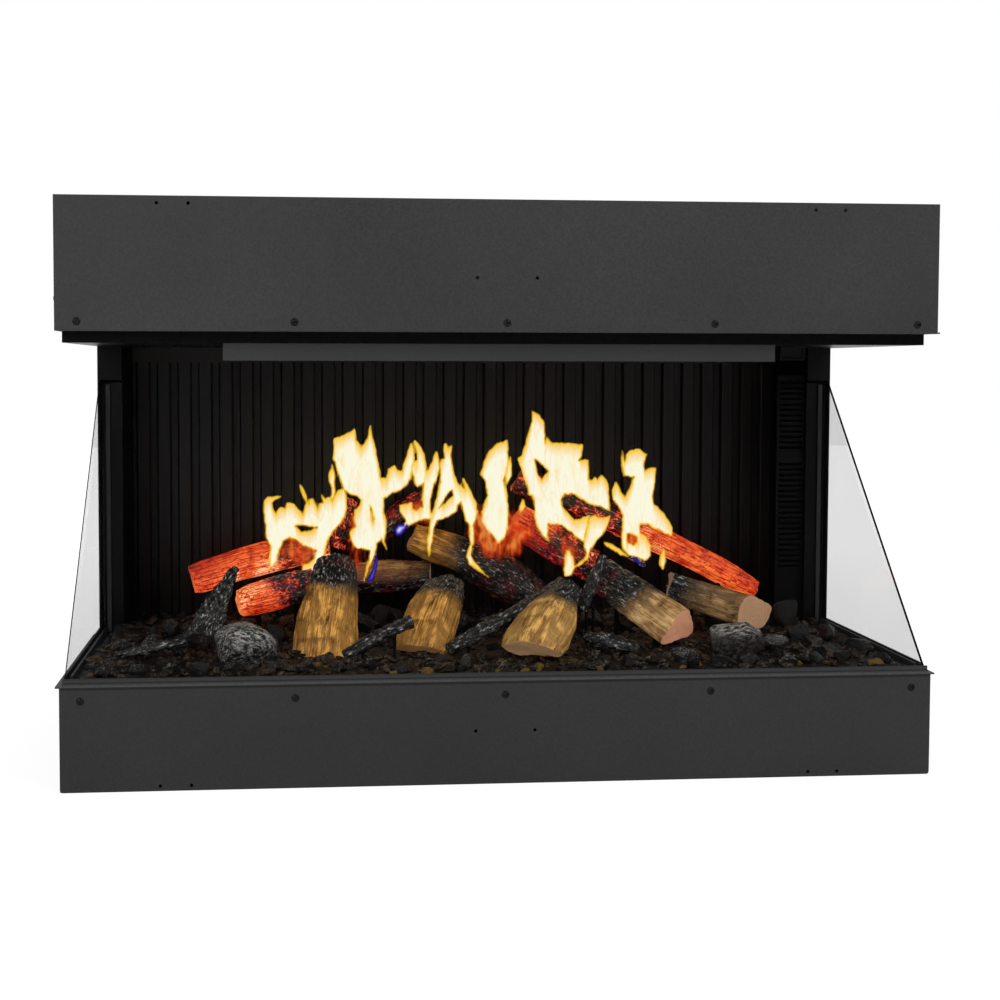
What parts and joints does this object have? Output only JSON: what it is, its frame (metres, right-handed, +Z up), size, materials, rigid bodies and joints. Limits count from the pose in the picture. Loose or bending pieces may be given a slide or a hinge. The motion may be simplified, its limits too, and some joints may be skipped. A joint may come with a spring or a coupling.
{
  "type": "electric fireplace",
  "caption": "Three-sided electric fireplace with a header box, a base box, a leaning front pane, side panes and a glowing log pile.",
  "frame": {"origin": "middle of the footprint, at the underside of the base", "axes": "+X to the viewer's right when facing the fire, +Y from the front to the back, +Z up"},
  "size_m": [0.876, 0.432, 0.575],
  "materials": {
    "charcoal_coat": "matt powder coat",
    "black_coat": "satin black coat",
    "gloss_black": "gloss black",
    "clear_glass": "clear toughened glass",
    "black_screw": "blackened steel",
    "zinc_sheet": "zinc-plated sheet",
    "fan_alloy": "bare aluminium",
    "motor_can": "steel can",
    "display_shell": "matt black plastic",
    "display_face": "lit display face",
    "board": "solder-masked board",
    "cutout_ceramic": "glazed ceramic",
    "red_plastic": "red plastic",
    "ember_resin": "smoky translucent resin",
    "coal": "rough black ceramic",
    "brown_log": "painted ceramic log",
    "glowing_log": "lit ceramic log",
    "flame_image": "flame image"
  },
  "bodies": {
    "cabinet": {"base_front": "charcoal_coat", "base_floor": "black_coat", "base_side_left": "charcoal_coat", "base_side_right": "charcoal_coat", "base_deck": "black_coat", "back_panel": "charcoal_coat", "casing_left": "black_coat", "casing_right": "black_coat", "glass_sill": "charcoal_coat", "post_left": "black_coat", "post_right": "black_coat", "cheek_left": "black_coat", "cheek_right": "black_coat", "rear_wall": "black_coat", "front_glass": "clear_glass", "side_glass_left": "clear_glass", "side_glass_right": "clear_glass", "glass_brackets": "black_coat", "canopy_frame": "gloss_black", "outlet_bar": "charcoal_coat", "receiver_window": "gloss_black", "header_front": "charcoal_coat", "header_side_left": "charcoal_coat", "header_side_right": "charcoal_coat", "header_top": "charcoal_coat", "header_floor": "black_coat", "panel_screws": "black_screw", "display_housing": "display_shell", "display_screen": "display_face", "heater_housing": "zinc_sheet", "fan_motor": "motor_can", "heating_element": "fan_alloy", "control_board": "board", "power_supply": "zinc_sheet", "speakers": "display_shell", "mains_inlet": "display_shell", "switch_body": "display_shell", "cutout_body": "cutout_ceramic", "ember_lights": "board", "ember_bed": "ember_resin", "coals": "coal", "log_pins": "zinc_sheet", "log_left_glow": "glowing_log", "log_red_ember": "glowing_log", "log_stub_left": "brown_log", "log_stub_mid": "brown_log", "log_stub_front": "brown_log", "log_split_cut": "brown_log", "log_right_brown": "brown_log", "log_right_glow": "glowing_log", "log_back_red": "glowing_log", "log_back_brown": "brown_log", "log_back_char": "coal", "log_back_embers": "glowing_log", "sticks": "coal", "flames": "flame_image"},
    "fan": {"fan_wheel": "fan_alloy"},
    "power_rocker": {"rocker": "red_plastic"},
    "reset_knob": {"reset_button": "red_plastic"}
  },
  "joints": [
    {"name": "fan_spin", "type": "hinge", "parent": "cabinet", "child": "fan", "pos_m": [0, -0.161, 0.5165], "axis": [1, 0, 0], "continuous": true},
    {"name": "rocker_tilt", "type": "hinge", "parent": "cabinet", "child": "power_rocker", "pos_m": [-0.275, 0.208, 0.508], "axis": [1, 0, 0], "range_deg": [-16, 0]},
    {"name": "reset_press", "type": "slide", "parent": "cabinet", "child": "reset_knob", "axis": [0, -1, 0], "range_m": [0, 0.0025], "stiffness_N_per_m": 300, "springref_m": -0.002}
  ]
}
